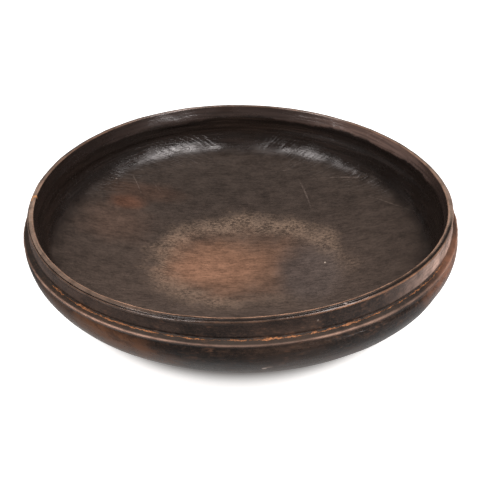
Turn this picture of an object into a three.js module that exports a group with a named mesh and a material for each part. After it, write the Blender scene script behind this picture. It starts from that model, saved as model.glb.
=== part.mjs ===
// A low, wide bowl carved by hand from one block of dark wood.
// From the outside in: a flat foot, a curved underside, a shoulder ridge with a narrow ledge
// above it, an upright collar, a thin rim, a steep inner wall and a shallow dish.
// Millimetres, +Z up. The origin is the middle of the foot, on the surface it stands on.

import * as THREE from 'three';
import { mergeVertices } from 'three/addons/utils/BufferGeometryUtils.js';

// Overall sizes
const rimRadius = 190;          // outer edge of the rim
const bowlHeight = 86;          // foot to the top of the rim, on average round the bowl

// Rim and collar
const rimWidth = 5.3;           // across the top of the rim
const rimFall = 1.4;            // how much lower the rim's outer edge is than its inner edge
const rimRounding = 0.9;        // soft edges of the rim
const collarHeight = 16;        // rim's outer edge down to the corner on the ledge
const collarFlare = 0.8;        // how far the corner stands outside the rim's outer edge
const collarHollow = 0.7;       // how far the collar's face curves in at mid height

// Shoulder and outside
const ledgeWidth = 4.3;         // corner out to the shoulder ridge
const ledgeFall = 3.6;          // corner down to the shoulder ridge
const bellyDrop = 6.5;          // shoulder ridge down to where the side stands upright
const bellySwell = 0.5;         // how far the side bulges past the shoulder ridge
const footRadius = 123;         // where the underside would meet the ground
const footRounding = 5;         // soft edge round the foot
const undersideSag = 7;         // how far below the foot the underside's curve would bottom out

// Hollow
const lipDepth = 12;            // the band inside the rim that leans outwards
const lipLean = 3;              // how much narrower the hollow is at the lip's lower edge
const wallUndercut = 1.9;       // how far the wall's curve is drawn out behind the lip
const kneeDepth = 48.2;         // rim down to where the rounded knee runs out into the dish
const kneeInset = 24;           // how far that place stands inside the rim's outer edge
const kneeRound = 10;           // how far the knee's curve is drawn along the dish
const floorThickness = 14;      // wood under the middle of the dish

// The carver's unevenness: how much, and the heading in degrees from +X towards +Y where it peaks
const wholeOval = { amount: 0.6, heading: 42 };      // all of it drawn out along one diameter
const wholeCorners = { amount: 0.5, heading: -40 };  // three soft corners in its outline
const bodyOval = { amount: 1.9, heading: -49 };      // below the shoulder, drawn out further
const bodyShift = { amount: 0.4, heading: 155 };     // below the shoulder, a little off centre
const rimWave = { amount: 2.5, heading: -55 };       // rim higher at two opposite places
const shoulderWave = { amount: 0.9, heading: -60 };  // shoulder higher at two opposite places
const kneeWave = { amount: 3, heading: 120 };        // knee higher at two opposite places

const segmentsRound = 72;

// Heights and radii that follow from the sizes above
const rimEdgeZ = bowlHeight - rimFall;
const cornerRadius = rimRadius + collarFlare;
const cornerZ = rimEdgeZ - collarHeight;
const ridgeRadius = cornerRadius + ledgeWidth;
const ridgeZ = cornerZ - ledgeFall;
const bellyRadius = ridgeRadius + bellySwell;
const bellyZ = ridgeZ - bellyDrop;
const innerRimRadius = rimRadius - rimWidth;
const lipRadius = innerRimRadius - lipLean;
const lipZ = bowlHeight - lipDepth;
const kneeRadius = rimRadius - kneeInset;
const kneeZ = bowlHeight - kneeDepth;

// The underside is an arc of an ellipse. It leaves the belly upright and reaches the foot's
// height at the foot's radius, on its way to a lowest point below the foot.
function underside() {
  const drop = bellyZ + undersideSag;
  const groundAngle = Math.asin(bellyZ / drop);
  const reach = (bellyRadius - footRadius) / (1 - Math.cos(groundAngle));
  const middle = bellyRadius - reach;
  const footEdgeAngle = Math.acos((footRadius + footRounding - middle) / reach);
  const arc = new THREE.EllipseCurve(middle, bellyZ, reach, drop, -footEdgeAngle, 0);
  const side = arc.getPoints(12);
  const footEdge = new THREE.QuadraticBezierCurve(
    new THREE.Vector2(footRadius - footRounding, 0),
    new THREE.Vector2(footRadius, 0),
    side[0],
  );
  return [...footEdge.getPoints(3), ...side.slice(1)];
}

// From the belly over the shoulder ridge, in along the ledge and up the collar
function shoulderAndCollar() {
  const side = new THREE.QuadraticBezierCurve(
    new THREE.Vector2(bellyRadius, bellyZ),
    new THREE.Vector2(bellyRadius, (bellyZ + ridgeZ) / 2),
    new THREE.Vector2(ridgeRadius, ridgeZ),
  );
  const collar = new THREE.QuadraticBezierCurve(
    new THREE.Vector2(cornerRadius, cornerZ),
    new THREE.Vector2((cornerRadius + rimRadius) / 2 - 2 * collarHollow, (cornerZ + rimEdgeZ) / 2),
    new THREE.Vector2(rimRadius, rimEdgeZ - rimRounding),
  );
  return [...side.getPoints(3).slice(1), ...collar.getPoints(4)];
}

// Across the top of the rim, with both edges softened
function rimTop() {
  const slope = rimFall / rimWidth;
  const outerEdge = new THREE.Vector2(rimRadius - rimRounding, rimEdgeZ + rimRounding * slope);
  const innerEdge = new THREE.Vector2(innerRimRadius + rimRounding, bowlHeight);
  return [outerEdge, innerEdge, new THREE.Vector2(innerRimRadius, bowlHeight - rimRounding)];
}

// Down the lip, round the knee and across the dish, which is a parabola
function hollow() {
  const dishDrop = kneeZ - floorThickness;
  const kneeTangent = new THREE.Vector2(kneeRadius / 2, dishDrop).normalize();
  const lip = new THREE.Vector2(lipRadius, lipZ);
  const knee = new THREE.Vector2(kneeRadius, kneeZ);
  const wall = new THREE.CubicBezierCurve(
    lip,
    new THREE.Vector2(lipRadius + wallUndercut, (lipZ + kneeZ) / 2),
    knee.clone().addScaledVector(kneeTangent, kneeRound),
    knee,
  );
  const dish = new THREE.QuadraticBezierCurve(
    knee,
    new THREE.Vector2(kneeRadius / 2, floorThickness),
    new THREE.Vector2(0, floorThickness),
  );
  return [...wall.getPoints(8), ...dish.getPoints(8).slice(1)];
}

const { smoothstep, degToRad } = THREE.MathUtils;

// An unevenness as it goes round the bowl: a cosine with so many peaks in a turn
function swing(unevenness, order, angle) {
  return unevenness.amount * Math.cos(order * (angle - degToRad(unevenness.heading)));
}

// Moves every vertex as the carver's hand did. The foot stays flat and the middle stays put.
// Each column of the turned shape holds the profile's points in order, the hollow's last.
function carveUneven(geometry, profileCount, hollowCount) {
  const position = geometry.attributes.position;
  for (let i = 0; i < position.count; i += 1) {
    const x = position.getX(i);
    const y = position.getY(i);
    const z = position.getZ(i);
    const radius = Math.hypot(x, y);
    const angle = Math.atan2(y, x);
    const outward = radius / rimRadius;
    const wholePush = swing(wholeOval, 2, angle) + swing(wholeCorners, 3, angle);
    const bodyPush = swing(bodyOval, 2, angle) + swing(bodyShift, 1, angle);
    const push = outward * (wholePush + (1 - smoothstep(z, bellyZ, ridgeZ)) * bodyPush);
    const rimShare = smoothstep(z, cornerZ, bowlHeight);
    const shoulderShare = smoothstep(z, 0, cornerZ) * (1 - rimShare);
    const rimLift = rimShare * swing(rimWave, 2, angle);
    const inHollow = i % profileCount >= profileCount - hollowCount;
    const kneeShare = inHollow ? outward * (1 - smoothstep(z, kneeZ, lipZ)) : 0;
    const kneeLift = kneeShare * swing(kneeWave, 2, angle);
    const shoulderLift = shoulderShare * swing(shoulderWave, 2, angle);
    const lift = outward * (rimLift + shoulderLift + kneeLift);
    position.setXYZ(i, x + push * Math.cos(angle), y + push * Math.sin(angle), z + lift);
  }
}

function makeBowl() {
  const inside = hollow();
  const profile = [
    new THREE.Vector2(0, 0),
    ...underside(),
    ...shoulderAndCollar(),
    ...rimTop(),
    ...inside,
  ];
  const lathe = new THREE.LatheGeometry(profile, segmentsRound);
  lathe.rotateX(Math.PI / 2);
  lathe.deleteAttribute('normal');
  lathe.deleteAttribute('uv');
  carveUneven(lathe, profile.length, inside.length);
  const geometry = mergeVertices(lathe);
  geometry.computeBoundingBox();
  const middle = geometry.boundingBox.getCenter(new THREE.Vector3());
  geometry.translate(-middle.x, -middle.y, 0);
  geometry.computeVertexNormals();
  const darkWood = new THREE.MeshStandardMaterial({
    color: 0x40332c,
    roughness: 0.45,
    metalness: 0,
  });
  const mesh = new THREE.Mesh(geometry, darkWood);
  mesh.name = 'bowl';
  return mesh;
}

const carvedBowl = new THREE.Group();
carvedBowl.add(makeBowl());

export default carvedBowl;
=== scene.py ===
# Hand-carved wooden bowl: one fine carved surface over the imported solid, with its dark waxed
# wood, on a pale floor under soft studio light. Bowl sizes are in millimetres.
import math

import bpy
import numpy as np
from mathutils import Matrix, Vector


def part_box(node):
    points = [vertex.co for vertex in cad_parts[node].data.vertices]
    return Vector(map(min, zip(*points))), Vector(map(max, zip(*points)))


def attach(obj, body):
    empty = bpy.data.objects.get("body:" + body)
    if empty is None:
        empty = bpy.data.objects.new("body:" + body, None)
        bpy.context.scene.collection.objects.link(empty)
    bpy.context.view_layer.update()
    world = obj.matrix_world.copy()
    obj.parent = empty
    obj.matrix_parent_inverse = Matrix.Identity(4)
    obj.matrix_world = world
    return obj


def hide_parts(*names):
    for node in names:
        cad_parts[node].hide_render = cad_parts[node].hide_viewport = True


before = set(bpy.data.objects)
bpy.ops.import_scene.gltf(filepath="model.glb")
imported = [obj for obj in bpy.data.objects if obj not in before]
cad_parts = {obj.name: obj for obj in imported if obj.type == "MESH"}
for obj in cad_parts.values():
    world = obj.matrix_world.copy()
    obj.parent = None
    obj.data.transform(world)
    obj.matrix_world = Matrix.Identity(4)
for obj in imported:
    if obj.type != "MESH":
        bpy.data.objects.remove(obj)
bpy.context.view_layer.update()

mm = 0.001
nodeLow, nodeHigh = (np.array(corner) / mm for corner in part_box("bowl"))
print("frame loaded, bowl is", (nodeHigh - nodeLow).round(1), "mm")

bowl = {
    "rimRadius": 190, "height": 86,
    "rimWidth": 5.3, "rimFall": 1.4, "rimRounding": 0.9,
    "collarHeight": 16, "collarFlare": 0.8, "collarHollow": 0.7,
    "ledgeWidth": 4.3, "ledgeFall": 3.6, "bellyDrop": 6.5, "bellySwell": 0.5,
    "footRadius": 123, "footRounding": 5, "undersideSag": 7,
    "lipDepth": 12, "lipLean": 3, "wallUndercut": 1.9,
    "kneeDepth": 48.2, "kneeInset": 24, "kneeRound": 10, "floorThickness": 14,
    # unevenness: how much, peaks in a turn, and the heading of a peak in degrees from +X
    "wholeOval": (0.6, 2, 42), "wholeCorners": (0.5, 3, -40),
    "bodyOval": (1.9, 2, -49), "bodyShift": (0.4, 1, 155),
    "rimWave": (2.5, 2, -55), "shoulderWave": (0.9, 2, -60), "kneeWave": (3, 2, 120),
    # the mesh: columns round the bowl, and how far apart its rings are on each stretch
    "columns": 432,
    "ringGap": {"foot": 5, "side": 2.2, "shoulder": 0.55, "collar": 0.8, "rim": 0.42,
                "lip": 1.2, "wall": 1.6, "dish": 2.6},
}


def smooth(x, low, high):
    # 0 below low, 1 above high, and between them 3t^2 - 2t^3
    t = np.clip((x - low) / (high - low), 0, 1)
    return t * t * (3 - 2 * t)


def bezier(points, count=80):
    # a Bezier curve: neighbouring points are blended by t until one is left
    t = np.linspace(0, 1, count)[:, None]
    rows = [np.array(p, float)[None, :] for p in points]
    while len(rows) > 1:
        rows = [a * (1 - t) + b * t for a, b in zip(rows, rows[1:])]
    return rows[0]


def sectionStretches(b):
    # the bowl's section as (radius, height), from the middle of the foot round to the middle
    # of the dish: ellipse for the side, Bezier curves for the rest, a parabola for the dish
    rimZ = b["height"] - b["rimFall"]
    cornerR, cornerZ = b["rimRadius"] + b["collarFlare"], rimZ - b["collarHeight"]
    ridgeR, ridgeZ = cornerR + b["ledgeWidth"], cornerZ - b["ledgeFall"]
    bellyR, bellyZ = ridgeR + b["bellySwell"], ridgeZ - b["bellyDrop"]
    drop = bellyZ + b["undersideSag"]
    groundAngle = math.asin(bellyZ / drop)
    reach = (bellyR - b["footRadius"]) / (1 - math.cos(groundAngle))
    middle = bellyR - reach
    edgeAngle = math.acos((b["footRadius"] + b["footRounding"] - middle) / reach)
    a = np.linspace(-edgeAngle, 0, 200)
    side = np.stack([middle + reach * np.cos(a), bellyZ + drop * np.sin(a)], 1)
    footEdge = bezier([(b["footRadius"] - b["footRounding"], 0), (b["footRadius"], 0), side[0]])
    ridge = bezier([(bellyR, bellyZ), (bellyR, (bellyZ + ridgeZ) / 2), (ridgeR, ridgeZ)])
    hollowR = (cornerR + b["rimRadius"]) / 2 - 2 * b["collarHollow"]
    collar = bezier([(cornerR, cornerZ), (hollowR, (cornerZ + rimZ) / 2),
                     (b["rimRadius"], rimZ - b["rimRounding"])])
    innerR, slope = b["rimRadius"] - b["rimWidth"], b["rimFall"] / b["rimWidth"]
    rim = np.array([
        collar[-1],
        (b["rimRadius"] - b["rimRounding"], rimZ + b["rimRounding"] * slope),
        (innerR + b["rimRounding"], b["height"]),
        (innerR, b["height"] - b["rimRounding"]),
    ])
    lipR, lipZ = innerR - b["lipLean"], b["height"] - b["lipDepth"]
    kneeR, kneeZ = b["rimRadius"] - b["kneeInset"], b["height"] - b["kneeDepth"]
    slant = np.array([kneeR / 2, kneeZ - b["floorThickness"]])
    slant *= b["kneeRound"] / np.linalg.norm(slant)
    wall = bezier([(lipR, lipZ), (lipR + b["wallUndercut"], (lipZ + kneeZ) / 2),
                   (kneeR + slant[0], kneeZ + slant[1]), (kneeR, kneeZ)])
    dish = bezier([(kneeR, kneeZ), (kneeR / 2, b["floorThickness"]), (0, b["floorThickness"])])
    return {
        "foot": np.concatenate([[(0, 0)], footEdge]), "side": side,
        "shoulder": np.concatenate([ridge, collar[:1]]), "collar": collar, "rim": rim,
        "lip": np.array([rim[-1], (lipR, lipZ)]), "wall": wall, "dish": dish,
        "levels": {"belly": bellyZ, "ridge": ridgeZ, "corner": cornerZ, "knee": kneeZ, "lip": lipZ},
    }


def swing(b, name, angle):
    # an unevenness round the bowl: a cosine of the angle from its heading
    amount, peaks, heading = b[name]
    return amount * np.cos(peaks * (angle - math.radians(heading)))


def uneven(b, levels, radius, angle, z, inHollow):
    # moves points out and up by the carver's cosines, each faded in over its own heights
    outward = radius / b["rimRadius"]
    body = swing(b, "bodyOval", angle) + swing(b, "bodyShift", angle)
    push = swing(b, "wholeOval", angle) + swing(b, "wholeCorners", angle)
    push = push + (1 - smooth(z, levels["belly"], levels["ridge"])) * body
    rimShare = smooth(z, levels["corner"], b["height"])
    shoulderShare = smooth(z, 0, levels["corner"]) * (1 - rimShare)
    lift = rimShare * swing(b, "rimWave", angle) + shoulderShare * swing(b, "shoulderWave", angle)
    kneeShare = inHollow * outward * (1 - smooth(z, levels["knee"], levels["lip"]))
    lift = lift + kneeShare * swing(b, "kneeWave", angle)
    return radius + outward * push, z + outward * lift


def ripple(points, wavelength, seed, waves=28):
    # smooth noise from -1 to 1: a sum of plane waves with seeded directions and phases
    random = np.random.default_rng(seed)
    directions = random.normal(size=(waves, 3))
    directions /= np.linalg.norm(directions, axis=1)[:, None]
    numbers = 2 * math.pi / wavelength * random.uniform(0.6, 1.5, waves)
    phases = random.uniform(0, 2 * math.pi, waves)
    total = np.zeros(points.shape[:-1])
    for direction, number, phase in zip(directions, numbers, phases):
        total += np.sin(points @ direction * number + phase)
    return total / math.sqrt(waves / 2) / 2


def section(b):
    # joins the stretches and walks along them at each stretch's own gap; marks say how far
    # along the section, in mm, each stretch and the shoulder ridge are
    stretches = sectionStretches(b)
    levels = stretches.pop("levels")
    points, marks, start = [], {}, 0.0
    for name, line in stretches.items():
        steps = np.linalg.norm(np.diff(line, axis=0), axis=1)
        along = np.concatenate([[0], np.cumsum(steps)])
        count = max(2, round(along[-1] / b["ringGap"][name]))
        at = np.linspace(0, along[-1], count + 1)
        if name != "dish":
            at = at[:-1]
        r, z = np.interp(at, along, line[:, 0]), np.interp(at, along, line[:, 1])
        points.append(np.stack([r, z, at + start], 1))
        marks[name] = start
        start += along[-1]
    marks["end"] = start
    marks["ridge"] = marks["shoulder"] + levels["ridge"] - levels["belly"]
    return np.concatenate(points), marks, levels


rings, marks, levels = section(bowl)
print("section has", len(rings), "rings, marks at", {k: round(v, 1) for k, v in marks.items()})


relief = {
    # rows of hollows left by the tools: length, width and depth in mm
    "insideCuts": {"length": 46, "width": 13, "depth": 0.07, "seed": 3},
    "outsideCuts": {"length": 34, "width": 14, "depth": 0.22, "seed": 5},
    # their depths repeat after this many rows and cells, and fade in between these radii
    "cutTable": (97, 89), "cutFade": (8, 40),
    # how the rows bend: wavelength in mm, and how far in row widths and in cell lengths
    "wander": {"wavelength": 55, "seed": 11, "across": 0.45, "lengthwise": 0.4},
    # where a region starts: its mark, and mm from the mark where it fades in
    "inside": ("lip", -1, 6), "upperSide": ("shoulder", -6, 0),
    "onCollar": ("collar", 0, 4), "onWall": ("wall", 0, 7),
    # slow swells: wavelength and height in mm, seed
    "swell": (70, 0.28, 12), "dishSwell": (38, 0.16, 13), "collarSwell": (24, 0.16, 14),
    # rough strips: mark and mm past it, half width, wavelength and height in mm, share of the
    # height that they are sunk by, seed
    "strips": {
        "knee": ("dish", -8, 20, 30, 0.42, 0, 21), "lip": ("lip", 7, 6, 26, 0.3, 0.5, 22),
        "ledge": ("collar", -1.5, 3, 5.5, 0.3, 0.6, 15), "edge": ("collar", -5.6, 1.5, 9, 0.18, 0.5, 16),
    },
    # where the lip leans out further: rise at its lower edge in mm, headings, fade in degrees
    "lipLeans": ((2.2, 102, 121, 7), (1.1, 22, 84, 9)),
    # creases along the rim on the headings where they show, with the half width and softness
    # of the painted shade in them, and a bead under the rim on the first one's headings
    "crease": {"depth": 0.9, "halfWidth": 0.5, "inward": 0.7, "from": -178, "to": -102,
               "dirt": (0.5, 0.25)},
    "farCrease": {"depth": 0.3, "halfWidth": 0.6, "inward": 2.4, "from": -112, "to": -12,
                  "dirt": (1.1, 0.6)},
    "bead": {"rise": 0.6, "halfWidth": 1.2, "below": 1.6},
    # the shoulder ridge stands up sharply, with a hollow just under it
    "ridge": {"rise": 0.35, "halfWidth": 0.8, "hollow": 0.8, "hollowWidth": 2.0, "below": 3.0},
    # groove where the collar meets the ledge
    "groove": {"depth": 0.55, "halfWidth": 0.7, "above": 0.9},
}


def hump(x, halfWidth):
    # a bell of height 1: exp of minus the square of x over the half width
    return np.exp(-(x / halfWidth) ** 2)


def past(along, mark, before, after):
    # 0 to 1 across a mark on the section, smooth between two distances from it in mm
    return smooth(along, marks[mark] + before, marks[mark] + after)


def between(degrees, low, high, fade=6):
    # 1 between two headings, fading to 0 past them
    return smooth(degrees, low - fade, low + fade) * (1 - smooth(degrees, high - fade, high + fade))


def toolCuts(b, k, cut, angle, along, radius, wander):
    # staggered rows of oval hollows: in each cell, a depth times a parabola across the cell and
    # the root of a parabola lengthwise
    random = np.random.default_rng(cut["seed"])
    tableRows, tableCells = k["cutTable"]
    depths = random.uniform(0.25, 1, k["cutTable"])
    shifts = random.uniform(0, 1, tableRows)
    across = along / cut["width"] + k["wander"]["across"] * wander
    row = np.floor(across).astype(int)
    cells = max(6, round(2 * math.pi * b["rimRadius"] / cut["length"]))
    around = angle / (2 * math.pi) * cells + shifts[row % tableRows]
    around = around + k["wander"]["lengthwise"] * wander
    cell = np.floor(around).astype(int) % cells
    v, u = across - row, around - np.floor(around)
    oval = 4 * v * (1 - v) * np.sqrt(4 * u * (1 - u))
    depth = cut["depth"] * depths[row % tableRows, cell % tableCells]
    return -depth * oval * smooth(radius, *k["cutFade"])


def carvedRelief(b, k, points, angle, along):
    # how far each point stands off the plain shape: the sum of tool cuts, swells and rough
    # strips, a leaning lip, a sharp ridge, a groove, two creases and a bead
    degrees = np.degrees(angle)
    radius = np.hypot(points[..., 0], points[..., 1])
    inside = past(along, *k["inside"])
    underside = 1 - past(along, *k["upperSide"])
    wander = ripple(points, k["wander"]["wavelength"], k["wander"]["seed"])
    height = inside * toolCuts(b, k, k["insideCuts"], angle, along, radius, wander)
    height += underside * toolCuts(b, k, k["outsideCuts"], angle, along, radius, wander)
    onCollar = past(along, *k["onCollar"]) * (1 - inside)
    for name, share, sink in (("swell", 0.3 + 0.7 * underside, 1), ("dishSwell", inside, 0),
                              ("collarSwell", onCollar, 0)):
        wavelength, rise, seed = k[name]
        height += share * rise * (ripple(points, wavelength, seed) - sink)
    for mark, offset, halfWidth, wavelength, rise, sink, seed in k["strips"].values():
        strip = hump(along - marks[mark] - offset, halfWidth)
        height += strip * rise * (ripple(points, wavelength, seed) - sink)
    lowerLip = smooth(along, marks["lip"], marks["wall"]) * (1 - past(along, *k["onWall"]))
    for rise, start, end, fade in k["lipLeans"]:
        height += rise * lowerLip * between(degrees, start, end, fade)
    ridge = k["ridge"]
    height += ridge["rise"] * hump(along - marks["ridge"], ridge["halfWidth"])
    height -= ridge["hollow"] * hump(along - marks["ridge"] + ridge["below"], ridge["hollowWidth"])
    groove = hump(along - marks["collar"] - k["groove"]["above"], k["groove"]["halfWidth"])
    height -= k["groove"]["depth"] * groove
    for c in (k["crease"], k["farCrease"]):
        line = hump(along - marks["rim"] - c["inward"], c["halfWidth"])
        height -= c["depth"] * line * between(degrees, c["from"], c["to"])
    bead = hump(along - marks["rim"] + k["bead"]["below"], k["bead"]["halfWidth"])
    bead = bead * between(degrees, k["crease"]["from"], k["crease"]["to"])
    return height + k["bead"]["rise"] * bead


def carvedSurface(b, k):
    # grid of points, rings by columns: the uneven section turned round, each point moved along
    # its section's normal by the relief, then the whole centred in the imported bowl's box and
    # made smaller where it would stand out of it
    angle = math.pi / 2 + np.arange(b["columns"]) * 2 * math.pi / b["columns"]
    angle = (angle + math.pi) % (2 * math.pi) - math.pi
    r0, z0, along = (rings[1:-1, i][:, None] for i in range(3))
    angle, along = np.broadcast_arrays(angle[None, :], along)
    r, z = uneven(b, levels, r0, angle, z0, along >= marks["lip"])
    dr, dz = np.gradient(r0[:, 0], along[:, 0]), np.gradient(z0[:, 0], along[:, 0])
    size = np.hypot(dr, dz)
    outR, outZ = (dz / size)[:, None], (-dr / size)[:, None]
    points = np.stack([r * np.cos(angle), r * np.sin(angle), z], -1)
    height = carvedRelief(b, k, points, angle, along)
    r, z = r + outR * height, z + outZ * height
    points = np.stack([r * np.cos(angle), r * np.sin(angle), z], -1)
    points[..., 2] = np.maximum(points[..., 2], 0)
    low, high = points.min((0, 1)), points.max((0, 1))
    middle, reach = (low + high) / 2, (high - low) / 2
    room = (nodeHigh - nodeLow) / 2
    points[..., :2] = (points[..., :2] - middle[:2]) * np.minimum(1, room / reach)[:2]
    points[..., :2] += ((nodeLow + nodeHigh) / 2)[:2]
    points[..., 2] *= min(1, nodeHigh[2] / high[2])
    return points, along


def closedMesh(name, points, along, total):
    # joins neighbouring rings with quads and closes both middles with fans; in the UV, U counts
    # turns round the bowl and V is the way along the section in metres
    count, columns = points.shape[:2]
    vertices = np.concatenate([points[:1].mean(1), points.reshape(-1, 3), points[-1:].mean(1)]) * mm
    here, ahead = np.arange(columns), (np.arange(columns) + 1) % columns
    start = 1 + np.arange(count - 1)[:, None] * columns
    quads = np.stack([start + here, start + ahead, start + columns + ahead, start + columns + here], -1)
    last = 1 + (count - 1) * columns
    foot = np.stack([0 * here, 1 + ahead, 1 + here], -1)
    dish = np.stack([last + here, last + ahead, 0 * here + len(vertices) - 1], -1)
    turn = here / columns
    u4 = np.broadcast_to(np.stack([turn, turn + 1 / columns, turn + 1 / columns, turn], -1),
                         quads.shape)
    rows = along[:, 0] * mm
    v4 = np.stack([rows[:-1], rows[:-1], rows[1:], rows[1:]], -1)[:, None, :]
    v4 = np.broadcast_to(v4, quads.shape)
    uvQuads = np.stack([u4, v4], -1).reshape(-1, 2)
    half = turn + 0.5 / columns
    uvFoot = np.stack([np.stack([half, turn + 1 / columns, turn], -1),
                       np.broadcast_to([0, rows[0], rows[0]], foot.shape)], -1).reshape(-1, 2)
    uvDish = np.stack([np.stack([turn, turn + 1 / columns, half], -1),
                       np.broadcast_to([rows[-1], rows[-1], total * mm], dish.shape)], -1)
    corners = np.concatenate([quads.reshape(-1), foot.reshape(-1), dish.reshape(-1)])
    sizes = np.concatenate([np.full(quads.size // 4, 4), np.full(2 * columns, 3)])
    mesh = bpy.data.meshes.new(name)
    mesh.vertices.add(len(vertices))
    mesh.vertices.foreach_set("co", vertices.ravel().astype(np.float32))
    mesh.loops.add(len(corners))
    mesh.loops.foreach_set("vertex_index", corners.astype(np.int32))
    mesh.polygons.add(len(sizes))
    mesh.polygons.foreach_set("loop_start", (np.cumsum(sizes) - sizes).astype(np.int32))
    mesh.update(calc_edges=True)
    layer = mesh.uv_layers.new(name="girth")
    uv = np.concatenate([uvQuads, uvFoot, uvDish.reshape(-1, 2)])
    layer.uv.foreach_set("vector", uv.ravel().astype(np.float32))
    mesh.shade_smooth()
    mesh.validate()
    thing = bpy.data.objects.new(name, mesh)
    bpy.context.collection.objects.link(thing)
    return thing


points, along = carvedSurface(bowl, relief)
carvedBowl = closedMesh("carved_bowl", points, along, marks["end"])
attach(carvedBowl, "root")
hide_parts("bowl")
print("carved bowl has", len(carvedBowl.data.polygons), "faces")


# helpers for nodes: each adds one node or a few and gives back the output
def put(socket, x):
    # links an output, or sets a value; a colour of three numbers gets an alpha of 1
    if isinstance(x, bpy.types.NodeSocket):
        socket.id_data.links.new(x, socket)
    elif socket.type == "RGBA":
        socket.default_value = (*x, 1)
    else:
        socket.default_value = x


def node(tree, kind, output=0, inputs=None, **settings):
    made = tree.nodes.new(kind)
    for key, x in settings.items():
        setattr(made, key, x)
    for key, x in (inputs or {}).items():
        put(made.inputs[key], x)
    return made.outputs[output]


def sums(tree, operation, a, b=0.0, clamp=False):
    return node(tree, "ShaderNodeMath", 0, {0: a, 1: b}, operation=operation, use_clamp=clamp)


def times(tree, a, b):
    return sums(tree, "MULTIPLY", a, b)


def nudged(tree, x, noise, reach):
    # x pushed to and fro by a noise; reach is in mm
    return sums(tree, "ADD", x, times(tree, noise, reach * mm))


def ramp(tree, x, low, high, start=0.0, end=1.0):
    # a smooth step from start, below low, to end, above high
    return node(tree, "ShaderNodeMapRange", 0, {0: x, 1: low, 2: high, 3: start, 4: end},
                interpolation_type="SMOOTHSTEP")


def blend(tree, amount, a, b, kind="MIX"):
    made = tree.nodes.new("ShaderNodeMix")
    made.data_type, made.blend_type = "RGBA", kind
    for index, x in ((0, amount), (6, a), (7, b)):
        put(made.inputs[index], x)
    return made.outputs[2]


def parts(tree, vector):
    split = tree.nodes.new("ShaderNodeSeparateXYZ")
    put(split.inputs[0], vector)
    return split.outputs[0], split.outputs[1], split.outputs[2]


def stretched(tree, place, scales):
    return node(tree, "ShaderNodeVectorMath", 0, {0: place, 1: scales}, operation="MULTIPLY")


def grainNoise(tree, place, scale, detail, roughness):
    return node(tree, "ShaderNodeTexNoise", 0,
                {"Vector": place, "Scale": scale, "Detail": detail, "Roughness": roughness})


def patch(tree, place, centre, radii, wobble, soft):
    # 1 inside an ellipsoid whose edge is pushed in and out by wobble, fading over soft
    middle = Vector(centre) * mm
    moved = node(tree, "ShaderNodeVectorMath", 0, {0: place, 1: middle}, operation="SUBTRACT")
    scaled = stretched(tree, moved, [1 / (r * mm) for r in radii])
    far = node(tree, "ShaderNodeVectorMath", 1, {0: scaled}, operation="LENGTH")
    return ramp(tree, sums(tree, "ADD", far, wobble), 1 - soft, 1 + soft, 1.0, 0.0)


def band(tree, x, centre, halfWidth, soft):
    # 1 within halfWidth of centre, fading over soft; the last three are in mm
    away = sums(tree, "ABSOLUTE", sums(tree, "SUBTRACT", x, centre * mm))
    return ramp(tree, away, (halfWidth - soft) * mm, (halfWidth + soft) * mm, 1.0, 0.0)


def byHeading(tree, turn, values):
    # a value that changes with the heading, read off a ramp along U
    lookup = tree.nodes.new("ShaderNodeValToRGB")
    put(lookup.inputs[0], turn)
    most = max(value for heading, value in values)
    stops = lookup.color_ramp.elements
    for stop, (heading, value) in enumerate(values):
        place = (heading - 90) % 360 / 360
        if stop < len(stops):
            stops[stop].position = place
        else:
            stops.new(place)
        stops[stop].color = (value / most,) * 3 + (1,)
    return times(tree, lookup.outputs[0], most)


def onHeading(tree, turn, low, high, fade):
    # 1 between two headings in degrees; U counts turns from heading 90
    start, end, soft = (low - 90) % 360 / 360, (high - 90) % 360 / 360, fade / 360
    rise = ramp(tree, turn, start - soft, start + soft)
    return times(tree, rise, ramp(tree, turn, end - soft, end + soft, 1.0, 0.0))


print("node helpers ready")


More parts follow.
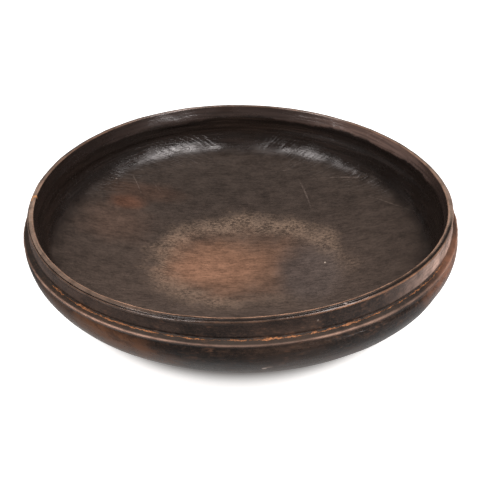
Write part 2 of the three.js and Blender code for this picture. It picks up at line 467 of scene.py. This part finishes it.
wood = {
    # colours: outside, wall and lip, dish, bare wood
    "soot": (0.006, 0.0035, 0.0025), "stain": (0.036, 0.021, 0.014), "fleck": (0.09, 0.045, 0.026),
    "wall": (0.0095, 0.006, 0.0045), "wallPale": (0.022, 0.0145, 0.0115),
    "lip": (0.036, 0.024, 0.02), "lipPale": (0.15, 0.098, 0.08), "lipDark": (0.016, 0.01, 0.008),
    "dish": (0.07, 0.05, 0.039), "dishBack": (0.038, 0.028, 0.022), "tan": (0.235, 0.164, 0.115),
    # in the next line, the crease colour is painted shade for the rim's creases
    "scratched": (0.16, 0.125, 0.105), "dirt": (0.012, 0.008, 0.006), "bare": (0.28, 0.108, 0.034),
    # noises: how far they are drawn out along X, scale, detail, roughness
    "noises": {"fibre": (0.22, 420, 4, 0.7), "cloud": (1, 15, 3, 0.55), "mottle": (0.6, 90, 5, 0.68),
               "speck": (0.7, 480, 4, 0.75), "wobble": (1, 34, 5, 0.62), "wearAndSheen": (1, 60, 4, 0.6),
               "jag": (1, 210, 4, 0.75), "gaps": (1, 85, 3, 0.6)},
    # streaks run round the bowl: this much closer along the section, then scale, detail, roughness
    "streak": (20, 26, 4, 0.65),
    # where the inside, the dish and the lip's lower edge are: mark, mm from it, mm it wanders
    "inside": ("lip", -0.3, 0.5, 0), "onDish": ("dish", -14, 4, 18), "lipEdge": ("wall", -2, 1, 14),
    # darker and paler parts of the lip: headings and fade in degrees
    "lipDarkAt": (134, 200, 12), "lipPaleAt": (18, 62, 16),
    # the dish turns darker from one Y in metres to another
    "dishTurns": (-0.12, 0.14),
    # paler low down outside, the first band rubbed wood and the second a painted reflection of the floor:
    # mm its edge wanders, heights where it fades, strength, colour
    "paleLowAndReflection": ((30, 10, 42, 0.85, (0.115, 0.068, 0.048)), (9, 3, 16, 0.8, (0.17, 0.125, 0.1))),
    # worn ring in the dish, and where it is strongest: centres and radii in mm
    "ring": {"centre": (7, -2, 16), "outer": (91, 79, 60), "inner": (67, 54, 60),
             "outerSoft": 0.16, "innerSoft": 0.2, "elsewhere": 0.22,
             "lobes": (((-72, 4, 16), (36, 60, 60), 0.95), ((22, 68, 20), (100, 30, 60), 0.85),
                       ((84, 34, 20), (22, 34, 60), 0.9), ((-50, -66, 16), (52, 40, 60), 0.85),
                       ((92, -24, 16), (34, 62, 60), 0.75))},
    # scratches across the dish: centre and radius of the arc, half width, where it shows, radii
    "scratches": (
        ((60, -60), 190, 0.8, (122, 118), (30, 40)), ((20, 10), 152, 0.7, (135, 80), (34, 62)),
        ((40, -30), 148, 0.4, (158, 60), (30, 48)), ((-130, 60), 201, 0.8, (70, 122), (8, 34)),
        ((-240, 60), 148, 0.4, (-96, 118), (12, 16)), ((-225, 20), 170, 0.4, (-80, 130), (10, 18)),
        ((10, 330), 190, 0.35, (40, 132), (10, 16)),
    ),
    # patches: centre, radii in mm, softness, strength, colour
    "dishPatches": (
        ((-119, 51, 30), (30, 26, 60), 0.6, 0.35, (0.12, 0.07, 0.048)),
        ((-2, -4, 16), (66, 52, 60), 0.4, 0.85, (0.145, 0.084, 0.055)),
        ((-20, -4, 16), (46, 36, 60), 0.5, 0.6, (0.22, 0.115, 0.068)),
        ((-28, -9, 16), (34, 17, 60), 0.6, 0.8, (0.235, 0.125, 0.077)),
        ((63, -22, 16), (31, 48, 60), 0.34, 0.9, (0.074, 0.057, 0.049)),
        ((-110, 87, 30), (15, 9, 60), 0.6, 0.5, (0.13, 0.052, 0.027)),
        ((-96, 104, 30), (34, 12, 60), 0.6, 0.35, (0.08, 0.038, 0.022)),
    ),
    "outsidePatchesAndPaintedLight": (
        ((-104, -158, 40), (58, 42, 24), 0.4, 0.9, (0.22, 0.09, 0.036)),
        ((-146, -122, 38), (50, 44, 24), 0.5, 0.75, (0.17, 0.082, 0.042)),
        ((184, -66, 56), (46, 66, 13), 0.4, 0.85, (0.25, 0.108, 0.058)),
        # partly worn wood, partly a painted reflection where the right side turns away
        ((190, -40, 44), (40, 90, 14), 0.4, 0.7, (0.2, 0.13, 0.1)),
        ((40, -170, 30), (60, 60, 14), 0.6, 0.35, (0.13, 0.065, 0.038)),
        # painted shade on the left side where it turns away
        ((-190, 0, 50), (24, 56, 26), 0.5, 0.8, (0.02, 0.012, 0.009)),
    ),
    # chips and specks, and a painted glint on the rim, drawn over everything else
    "chipsAndGlint": (
        ((17.3, -188, 38.8), (1.9, 8, 1.3), 0.4, 1.0, (0.72, 0.58, 0.5)),
        ((21, -188, 40.6), (3.0, 8, 0.7), 0.4, 0.8, (0.5, 0.36, 0.28)),
        ((59.6, -180, 79.2), (0.7, 8, 1.0), 0.5, 0.45, (0.35, 0.3, 0.25)),
        ((77.6, -6.2, 16), (0.8, 1.1, 20), 0.4, 0.8, (0.5, 0.42, 0.34)),
        ((-186, 8.3, 85), (2.6, 2.2, 4), 0.4, 0.9, (0.62, 0.3, 0.12)),
        ((-188, 4, 84), (1.2, 3.4, 4), 0.4, 0.7, (0.5, 0.26, 0.12)),
        ((-123, 116.5, 41), (0.8, 0.8, 1.4), 0.5, 0.5, (0.3, 0.24, 0.2)),
        # painted glint on the rim
        ((82, -169.5, 87.5), (1.4, 0.7, 2), 0.5, 0.55, (0.5, 0.4, 0.35)),
    ),
    # broken line of bare wood at the foot of the collar, all but its headings in mm: how far it
    # is below the collar's start, how far it jags, where its edge is soft, width at each heading
    "line": {"below": 0.6, "jag": 3.4, "edge": (-0.25, 0.15)},
    "lineWidths": ((-146, 0), (-144, 0.5), (-139, 0.5), (-137, 0), (-134, 0.75), (-122, 0.6),
                   (-111, 0.55), (-109.5, 0), (-108, 0.5), (-100.5, 0.5), (-99, 0.12), (-94.5, 0.12),
                   (-93, 0.55), (-88, 0.55), (-86.5, 0), (-84.8, 0.9), (-81, 0.8), (-79.5, 0.5),
                   (-75.5, 0.5), (-74.8, 0.2), (-73.5, 0.65), (-66, 0.75), (-62, 0.6), (-61, 0.25),
                   (-57, 0.25), (-55, 0.5), (-50, 0.5), (-47, 0.2), (-40, 0.5), (-35, 0.15),
                   (-29, 0.45), (-25, 0)),
    # bands round the bowl, worn wood and painted light, drawn in this order: where each starts and ends,
    # as a mark and mm past it, softness in mm, colour, and how strong it is at each heading in degrees
    "wearAndHighlightBands": {
        "rim": {"from": ("rim", 0), "to": ("lip", 0), "soft": 0.5,
                "colour": (0.4, 0.285, 0.215),
                "wearAndSheen": ((95, 0.12), (150, 0.2), (170, 0.5), (178, 1.0), (-165, 0.6), (-140, 0.4),
                         (-118, 0.3), (-100, 0.1), (-40, 0.15), (-18, 0.6), (15, 0.6), (40, 0.2),
                         (89, 0.12))},
        "innerEdge": {"from": ("lip", -1.9), "to": ("lip", 0.1), "soft": 0.4,
                      "colour": (0.46, 0.27, 0.18),
                      "wearAndSheen": ((95, 0.2), (180, 0.3), (-150, 0.5), (-118, 1.0), (-80, 1.0), (-60, 0.8),
                               (-20, 0.55), (20, 0.5), (89, 0.2))},
        "outerEdge": {"from": ("rim", -0.6), "to": ("rim", 1.0), "soft": 0.5,
                      "colour": (0.34, 0.165, 0.085),
                      "wearAndSheen": ((95, 0.25), (130, 0.9), (160, 0.9), (-178, 0.3), (-80, 0.1), (-66, 0.8),
                               (-20, 0.8), (20, 0.6), (50, 0.9), (89, 0.3))},
        # painted highlight along the bead under the rim
        "bead": {"from": ("rim", -2.7), "to": ("rim", -0.5), "soft": 0.6,
                 "colour": (0.1, 0.078, 0.066),
                 "wearAndSheen": ((95, 0.0), (172, 0.0), (-176, 0.9), (-110, 0.8), (-84, 0.0), (89, 0.0))},
        # partly worn wood, partly a painted reflection of the light on the collar, most on the right
        "collar": {"from": ("collar", 2.5), "to": ("rim", -0.5), "soft": 1.2,
                   "colour": (0.72, 0.49, 0.39),
                   "wearAndSheen": ((95, 0.1), (150, 0.2), (-176, 0.35), (-150, 0.12), (-118, 0.06), (-100, 0.03),
                            (-54, 0.03), (-42, 0.3), (-30, 0.9), (-12, 0.95), (20, 0.4), (89, 0.1))},
        "ledge": {"from": ("ridge", 0.4), "to": ("ridge", 6.0), "soft": 0.8,
                  "colour": (0.036, 0.026, 0.019),
                  "wearAndSheen": ((95, 0.2), (-170, 0.5), (-145, 0.9), (-55, 0.9), (-38, 0.1), (89, 0.1))},
        # partly worn wood, partly a painted highlight of the lamps along the shoulder ridge
        "ridge": {"from": ("ridge", -1.2), "to": ("ridge", 1.2), "soft": 0.9,
                  "colour": (0.46, 0.29, 0.215),
                  "wearAndSheen": ((95, 0.5), (-165, 0.5), (-140, 1.4), (-112, 0.9), (-96, 0.45), (-84, 0.25),
                           (-75, 0.3), (-69, 0.95), (-58, 0.85), (-50, 0.3), (-40, 0.4), (-10, 0.7),
                           (89, 0.5))},
    },
    "roughness": {"outside": 0.27, "wall": 0.23, "dish": 0.46, "dry": 0.62, "ledge": 0.92},
    # the dull ledge: mark and mm past it, half width and softness in mm
    "dullLedge": ("collar", -2.6, 3.2, 1.2),
    # scratches over the knee: slope in degrees, closeness across and along them, headings;
    # the radius in mm that the slope is true at; mark and mm past it, half width and softness
    "slants": ((38, 430, 36, (100, 150)), (-52, 380, 30, (30, 82))),
    "slantRadius": 172, "slantsAt": ("dish", -6, 20, 8),
    # relief too fine for the mesh, in mm
    "depths": {"fibre": 0.01, "dishFibre": 0.07, "streak": 0.035, "dishStreak": 0.02, "mottle": 0.16,
               "slants": 0.13, "line": 0.3, "pits": 0.02, "ledgePits": 0.3},
}


def strip(tree, along, mark, offset, halfWidth, soft):
    # a band round the bowl, placed in mm past a mark on the section
    return band(tree, along, marks[mark] + offset, halfWidth, soft)


def region(tree, n, mark, before, after, wander, start=0.0, end=1.0):
    # from start to end across a mark on the section, along an edge that wanders
    at = nudged(tree, n["along"], n["wobble"], wander)
    return ramp(tree, at, (marks[mark] + before) * mm, (marks[mark] + after) * mm, start, end)


def woodNoises(tree, w):
    # where a point is on the bowl, and the noises and regions that the wood is drawn with
    place = node(tree, "ShaderNodeTexCoord", 3)
    turn, along = parts(tree, node(tree, "ShaderNodeUVMap", 0, uv_map="girth"))[:2]
    x, y, z = parts(tree, place)
    n = {"place": place, "flat": stretched(tree, place, (1, 1, 0)), "y": y, "z": z,
         "turn": turn, "along": along}
    for name, (drawnOut, *settings) in w["noises"].items():
        n[name] = grainNoise(tree, stretched(tree, place, (drawnOut, 1, 1)), *settings)
    for name in ("wobble", "jag"):
        n[name] = sums(tree, "SUBTRACT", n[name], 0.5)
    closeness, *settings = w["streak"]
    rounding = node(tree, "ShaderNodeCombineXYZ", 0, {0: times(tree, along, closeness), 1: x, 2: y})
    n["streak"] = grainNoise(tree, rounding, *settings)
    worked = sums(tree, "ADD", sums(tree, "ADD", n["fibre"], n["speck"]), n["mottle"])
    n["grain"] = ramp(tree, worked, 1.05, 1.95, 0.55, 1.5)
    n["inside"] = region(tree, n, *w["inside"])
    n["onDish"] = region(tree, n, *w["onDish"])
    n["onLip"] = times(tree, region(tree, n, *w["lipEdge"], 1.0, 0.0), n["inside"])
    return n


def patched(tree, n, colour, spots, share=1.0, grained=False):
    # lays ragged patches of other colours over a colour, held back by share
    for centre, radii, soft, strength, shade in spots:
        mask = times(tree, patch(tree, n["place"], centre, radii, n["wobble"], soft), strength)
        if grained:
            shade = blend(tree, 1.0, shade, n["grain"], "MULTIPLY")
        colour = blend(tree, times(tree, mask, share), colour, shade)
    return colour


def outsideColour(tree, w, n):
    # soot and stain, lightest low down: partly where the soot has rubbed off, partly a painted reflection
    # of the floor at the bottom
    colour = blend(tree, ramp(tree, n["cloud"], 0.4, 0.72), w["soot"], w["stain"])
    rubbed = times(tree, ramp(tree, n["speck"], 0.45, 0.64), 0.8)
    colour = blend(tree, rubbed, colour, w["stain"])
    flecks = ramp(tree, sums(tree, "ADD", n["fibre"], n["mottle"]), 1.06, 1.3, 0.0, 0.75)
    colour = blend(tree, flecks, colour, w["fleck"])
    for wander, full, gone, strength, shade in w["paleLowAndReflection"]:
        height = nudged(tree, n["z"], n["wobble"], wander)
        low = ramp(tree, height, full * mm, gone * mm, strength, 0.0)
        colour = blend(tree, low, colour, shade)
    colour = blend(tree, 1.0, colour, n["grain"], "MULTIPLY")
    mottled = ramp(tree, n["mottle"], 0.34, 0.58, 0.5, 1.0)
    return patched(tree, n, colour, w["outsidePatchesAndPaintedLight"], mottled)


def wallColour(tree, w, n):
    # nearly black with paler streaks, and above it the browner lip
    wall = blend(tree, ramp(tree, n["streak"], 0.42, 0.72), w["wall"], w["wallPale"])
    lip = blend(tree, onHeading(tree, n["turn"], *w["lipDarkAt"]), w["lip"], w["lipDark"])
    lip = blend(tree, onHeading(tree, n["turn"], *w["lipPaleAt"]), lip, w["lipPale"])
    streaky = times(tree, n["onLip"], ramp(tree, n["streak"], 0.3, 0.65, 0.45, 1.0))
    return blend(tree, streaky, wall, lip)


def dishColour(tree, w, n):
    # grained brown, paler towards -Y
    dish = blend(tree, ramp(tree, n["y"], *w["dishTurns"]), w["dish"], w["dishBack"])
    return blend(tree, 1.0, dish, n["grain"], "MULTIPLY")


def wornRing(tree, ring, n):
    # between two ragged ellipsoids, strongest in its lobes and broken up by the grain
    ragged = sums(tree, "ADD", times(tree, n["wobble"], 0.5),
                  times(tree, sums(tree, "SUBTRACT", n["mottle"], 0.5), 0.5))
    outer = patch(tree, n["place"], ring["centre"], ring["outer"], ragged, ring["outerSoft"])
    inner = patch(tree, n["place"], ring["centre"], ring["inner"], ragged, ring["innerSoft"])
    mask = times(tree, sums(tree, "SUBTRACT", outer, inner, clamp=True), n["onDish"])
    lobes = ring["elsewhere"]
    for centre, radii, strength in ring["lobes"]:
        lobe = times(tree, patch(tree, n["place"], centre, radii, n["wobble"], 0.5), strength)
        lobes = sums(tree, "MAXIMUM", lobes, lobe)
    spotty = sums(tree, "ADD", times(tree, n["speck"], 1.5), times(tree, n["mottle"], 0.6))
    spotty = ramp(tree, spotty, 0.85, 1.25, 0.15, 1.0)
    return times(tree, times(tree, mask, lobes), spotty)


def scratchedDish(tree, w, n, colour):
    # arcs of circles round upright axes, each showing only inside its own ellipse
    for centre, size, half, seenAt, seenRadii in w["scratches"]:
        away = node(tree, "ShaderNodeVectorMath", 1, {0: n["flat"], 1: Vector((*centre, 0)) * mm},
                    operation="DISTANCE")
        arc = band(tree, nudged(tree, away, n["wobble"], 1.5), size, half, 0.3)
        window = patch(tree, n["flat"], (*seenAt, 0), (*seenRadii, 1), n["wobble"], 0.4)
        arc = times(tree, times(tree, arc, window), n["onDish"])
        arc = times(tree, arc, ramp(tree, n["speck"], 0.35, 0.6, 0.0, 0.6))
        colour = blend(tree, arc, colour, w["scratched"])
    return colour


def wornEdgesAndPaintedLight(tree, w, n, colour):
    # paler bands where hands have worn the stain, painted highlights and reflections on the bead, collar
    # and ridge, and painted shade in the rim's creases
    patchy = ramp(tree, n["wearAndSheen"], 0.3, 0.62, 0.4, 1.0)
    patchy = times(tree, patchy, ramp(tree, n["streak"], 0.3, 0.6, 0.6, 1.0))
    for edge in w["wearAndHighlightBands"].values():
        low, high = (marks[mark] + offset for mark, offset in (edge["from"], edge["to"]))
        bandMask = band(tree, n["along"], (low + high) / 2, (high - low) / 2, edge["soft"])
        bandMask = times(tree, bandMask, byHeading(tree, n["turn"], edge["wearAndSheen"]))
        colour = blend(tree, times(tree, bandMask, patchy), colour, edge["colour"])
    # painted shade: darker in the rim's creases
    dirt = 0.0
    for crease in (relief["crease"], relief["farCrease"]):
        shadedCrease = strip(tree, n["along"], "rim", crease["inward"], *crease["dirt"])
        shadedCrease = times(tree, shadedCrease, onHeading(tree, n["turn"], crease["from"], crease["to"], 5))
        dirt = sums(tree, "MAXIMUM", dirt, shadedCrease)
    return blend(tree, dirt, colour, w["dirt"])


def bareLine(tree, w, n):
    # 1 where a point is nearer to the jagged line than the line's width at that heading
    line = w["line"]
    away = sums(tree, "SUBTRACT", nudged(tree, n["along"], n["jag"], line["jag"]),
                (marks["collar"] - line["below"]) * mm)
    width = times(tree, byHeading(tree, n["turn"], w["lineWidths"]), mm)
    width = times(tree, width, ramp(tree, n["gaps"], 0.36, 0.56, 0.25, 1.25))
    inner, outer = line["edge"]
    outside = sums(tree, "SUBTRACT", sums(tree, "ABSOLUTE", away), width)
    return ramp(tree, outside, inner * mm, outer * mm, 1.0, 0.0)


def woodRoughness(tree, r, n, ledge, dry):
    # waxed outside and on the wall, duller in the dish, dry where the wood is bare
    rough = blend(tree, n["inside"], (r["outside"],) * 3, (r["wall"],) * 3)
    for mask, name in ((n["onDish"], "dish"), (ledge, "ledge"), (dry, "dry")):
        rough = blend(tree, mask, rough, (r[name],) * 3)
    return sums(tree, "ADD", rough, ramp(tree, n["mottle"], 0.3, 0.7, -0.03, 0.07))


def slanted(tree, n, radius, degrees, across, lengthwise):
    # fine lines at an angle to the way round: noise close across them and long along them
    way = times(tree, n["turn"], 2 * math.pi * radius * mm)
    c, s = math.cos(math.radians(degrees)), math.sin(math.radians(degrees))
    q = sums(tree, "ADD", times(tree, n["along"], c), times(tree, way, s))
    p = sums(tree, "SUBTRACT", times(tree, way, c), times(tree, n["along"], s))
    lines = node(tree, "ShaderNodeCombineXYZ", 0,
                 {0: times(tree, q, across), 1: times(tree, p, lengthwise)})
    # a narrow step between flat plateaus, so the wood between the lines keeps its shine
    return ramp(tree, grainNoise(tree, lines, 1, 2, 0.5), 0.46, 0.54)


def woodHeight(tree, w, n, ledge, line):
    # fibres, streaks that run round the bowl, slanting scratches over the knee, fine pits
    depths = w["depths"]
    fibreDepth = ramp(tree, n["onDish"], 0.0, 1.0, depths["fibre"], depths["dishFibre"])
    streakDepth = ramp(tree, n["onDish"], 0.0, 1.0, depths["streak"], depths["dishStreak"])
    pitDepth = ramp(tree, ledge, 0.0, 1.0, depths["pits"], depths["ledgePits"])
    slants = 0.0
    for degrees, across, lengthwise, headings in w["slants"]:
        lines = slanted(tree, n, w["slantRadius"], degrees, across, lengthwise)
        lines = times(tree, lines, onHeading(tree, n["turn"], *headings, 8))
        slants = sums(tree, "ADD", slants, lines)
    slants = times(tree, slants, strip(tree, n["along"], *w["slantsAt"]))
    height = times(tree, n["fibre"], fibreDepth)
    for shape, depth in ((ramp(tree, n["streak"], 0.44, 0.56), streakDepth),
                         (n["mottle"], depths["mottle"]), (slants, depths["slants"]),
                         (line, -depths["line"]), (n["speck"], pitDepth)):
        height = sums(tree, "ADD", height, times(tree, shape, depth))
    return height


def darkWood(w):
    # black-brown stained wood: fibres along X, a worn ring and a rubbed middle in the dish,
    # bare wood along the broken corner of the collar, paler worn edges, and painted light: highlights
    # on the bead and ridge, reflections on the collar, right side and bottom, a glint on the rim, and
    # shade in the creases and on the left side
    material = bpy.data.materials.new("dark_wood")
    material.use_nodes = True
    tree = material.node_tree
    shader = tree.nodes["Principled BSDF"]
    n = woodNoises(tree, w)
    ring, line = wornRing(tree, w["ring"], n), bareLine(tree, w, n)
    ledge = strip(tree, n["along"], *w["dullLedge"])
    colour = blend(tree, n["inside"], outsideColour(tree, w, n), wallColour(tree, w, n))
    colour = blend(tree, n["onDish"], colour, dishColour(tree, w, n))
    colour = blend(tree, ring, colour, w["tan"])
    colour = patched(tree, n, colour, w["dishPatches"], n["onDish"], grained=True)
    colour = scratchedDish(tree, w, n, colour)
    colour = wornEdgesAndPaintedLight(tree, w, n, colour)
    bare = blend(tree, 1.0, w["bare"], ramp(tree, n["speck"], 0.35, 0.65, 0.45, 1.35), "MULTIPLY")
    colour = blend(tree, line, colour, bare)
    put(shader.inputs["Base Color"], patched(tree, n, colour, w["chipsAndGlint"]))
    dry = sums(tree, "MAXIMUM", line, ring)
    put(shader.inputs["Roughness"], woodRoughness(tree, w["roughness"], n, ledge, dry))
    shader.inputs["Specular IOR Level"].default_value = 0.45
    bump = node(tree, "ShaderNodeBump", 0,
                {"Strength": 1.0, "Distance": mm, "Height": woodHeight(tree, w, n, ledge, line)})
    put(shader.inputs["Normal"], bump)
    return material


carvedBowl.data.materials.append(darkWood(wood))
print("dark wood made")


studio = {
    "elevation": 30.34, "distance": 6.0, "roll": -0.68, "lens": 94.9, "sensor": 36,
    "aimBelow": 1.876, "rimCentre": (-0.66, 0.12),
    "floorSize": 9, "floorDrop": 0.0002, "floorColour": (0.93, 0.925, 0.915),
    # the table's glow where it is seen, dimmed near the bowl as a painted contact shadow, and the
    # glow it throws on the bowl: strength under the bowl and beyond, and the distances from its middle
    # between which it changes
    "seenGlowAndShadow": {"under": 0.02, "beyond": 0.86, "from": 0.14, "to": 0.162},
    "thrownGlow": {"under": 0.36, "beyond": 0.03, "from": 0.195, "to": 0.235},
    # how much of the lamps' light the table throws back, from one X to another
    "floorShade": {"left": 0.16, "right": 0.6, "from": 0.02, "to": 0.6},
    "world": {"horizon": (0.335, 0.33, 0.325), "zenith": (0.1, 0.1, 0.102), "upTo": 0.45},
    "lampColour": (1.0, 0.935, 0.925),
    # heading and elevation of each lamp in degrees, distance and size in metres, power in watts
    "lamps": {
        "key": {"heading": -38, "elevation": 49, "distance": 1.7, "size": (0.5, 0.72), "power": 27},
        "fill": {"heading": -143, "elevation": 50, "distance": 1.8, "size": (0.6, 0.8), "power": 21},
    },
}


def direction(heading, elevation):
    h, e = math.radians(heading), math.radians(elevation)
    return Vector((math.cos(e) * math.cos(h), math.cos(e) * math.sin(h), math.sin(e)))


def addCamera(s, b):
    # six rim radii from the rim's middle, turned down a little so the bowl sits high in frame
    centre = Vector((*s["rimCentre"], b["height"] - b["rimFall"])) * mm
    data = bpy.data.cameras.new("camera")
    data.lens, data.sensor_width = s["lens"], s["sensor"]
    camera = bpy.data.objects.new("camera", data)
    place = centre + direction(-90, s["elevation"]) * s["distance"] * b["rimRadius"] * mm
    tilt = math.radians(90 - s["elevation"] - s["aimBelow"])
    turnDown = Matrix.Rotation(tilt, 4, "X") @ Matrix.Rotation(math.radians(s["roll"]), 4, "Z")
    camera.matrix_world = Matrix.Translation(place) @ turnDown
    bpy.context.collection.objects.link(camera)
    bpy.context.scene.camera = camera


def addLamps(s):
    for name, lamp in s["lamps"].items():
        data = bpy.data.lights.new(name, "AREA")
        data.shape = "RECTANGLE"
        data.size, data.size_y = lamp["size"]
        data.energy = lamp["power"]
        data.color = s["lampColour"]
        thing = bpy.data.objects.new(name, data)
        toLamp = direction(lamp["heading"], lamp["elevation"])
        thing.location = toLamp * lamp["distance"]
        thing.rotation_euler = toLamp.to_track_quat("Z", "Y").to_euler()
        bpy.context.collection.objects.link(thing)


def addFloor(s):
    # a square of pale table, just under the bowl and centred on it
    half = s["floorSize"] / 2
    mesh = bpy.data.meshes.new("floor")
    mesh.from_pydata([(-half, -half, 0), (half, -half, 0), (half, half, 0), (-half, half, 0)],
                     [], [(0, 1, 2, 3)])
    table = bpy.data.objects.new("floor", mesh)
    table.location.z = -s["floorDrop"]
    bpy.context.collection.objects.link(table)
    material = bpy.data.materials.new("pale_table")
    material.use_nodes = True
    tree = material.node_tree
    shader = tree.nodes["Principled BSDF"]
    shader.inputs["Roughness"].default_value = 0.9
    # the table is exposed to white, and what it throws back on the bowl is held down
    seen = node(tree, "ShaderNodeLightPath", 0)
    place = node(tree, "ShaderNodeTexCoord", 3)
    shade = s["floorShade"]
    across = parts(tree, place)[0]
    held = ramp(tree, across, shade["from"], shade["to"], shade["left"], shade["right"])
    put(shader.inputs["Base Color"], blend(tree, seen, held, s["floorColour"]))
    shader.inputs["Emission Color"].default_value = s["floorColour"] + (1,)
    away = node(tree, "ShaderNodeVectorMath", 1, {0: place}, operation="LENGTH")
    thrown, direct = (ramp(tree, away, g["from"], g["to"], g["under"], g["beyond"])
                      for g in (s["thrownGlow"], s["seenGlowAndShadow"]))
    # where the table is seen, its glow is dimmed near the bowl: a painted contact shadow
    glow = node(tree, "ShaderNodeMix", 0, {0: seen, 2: thrown, 3: direct})
    put(shader.inputs["Emission Strength"], glow)
    mesh.materials.append(material)


def addWorld(s):
    # soft light from all round, brighter at the horizon than above
    world = bpy.data.worlds.new("studio")
    world.use_nodes = True
    tree, sky = world.node_tree, s["world"]
    up = parts(tree, node(tree, "ShaderNodeTexCoord", 0))[2]
    shades = blend(tree, ramp(tree, up, 0.0, sky["upTo"]), sky["horizon"], sky["zenith"])
    put(tree.nodes["Background"].inputs[0], shades)
    bpy.context.scene.world = world


addCamera(studio, bowl)
addLamps(studio)
addFloor(studio)
addWorld(studio)
bpy.context.scene.view_settings.view_transform = "Standard"
print("studio ready")
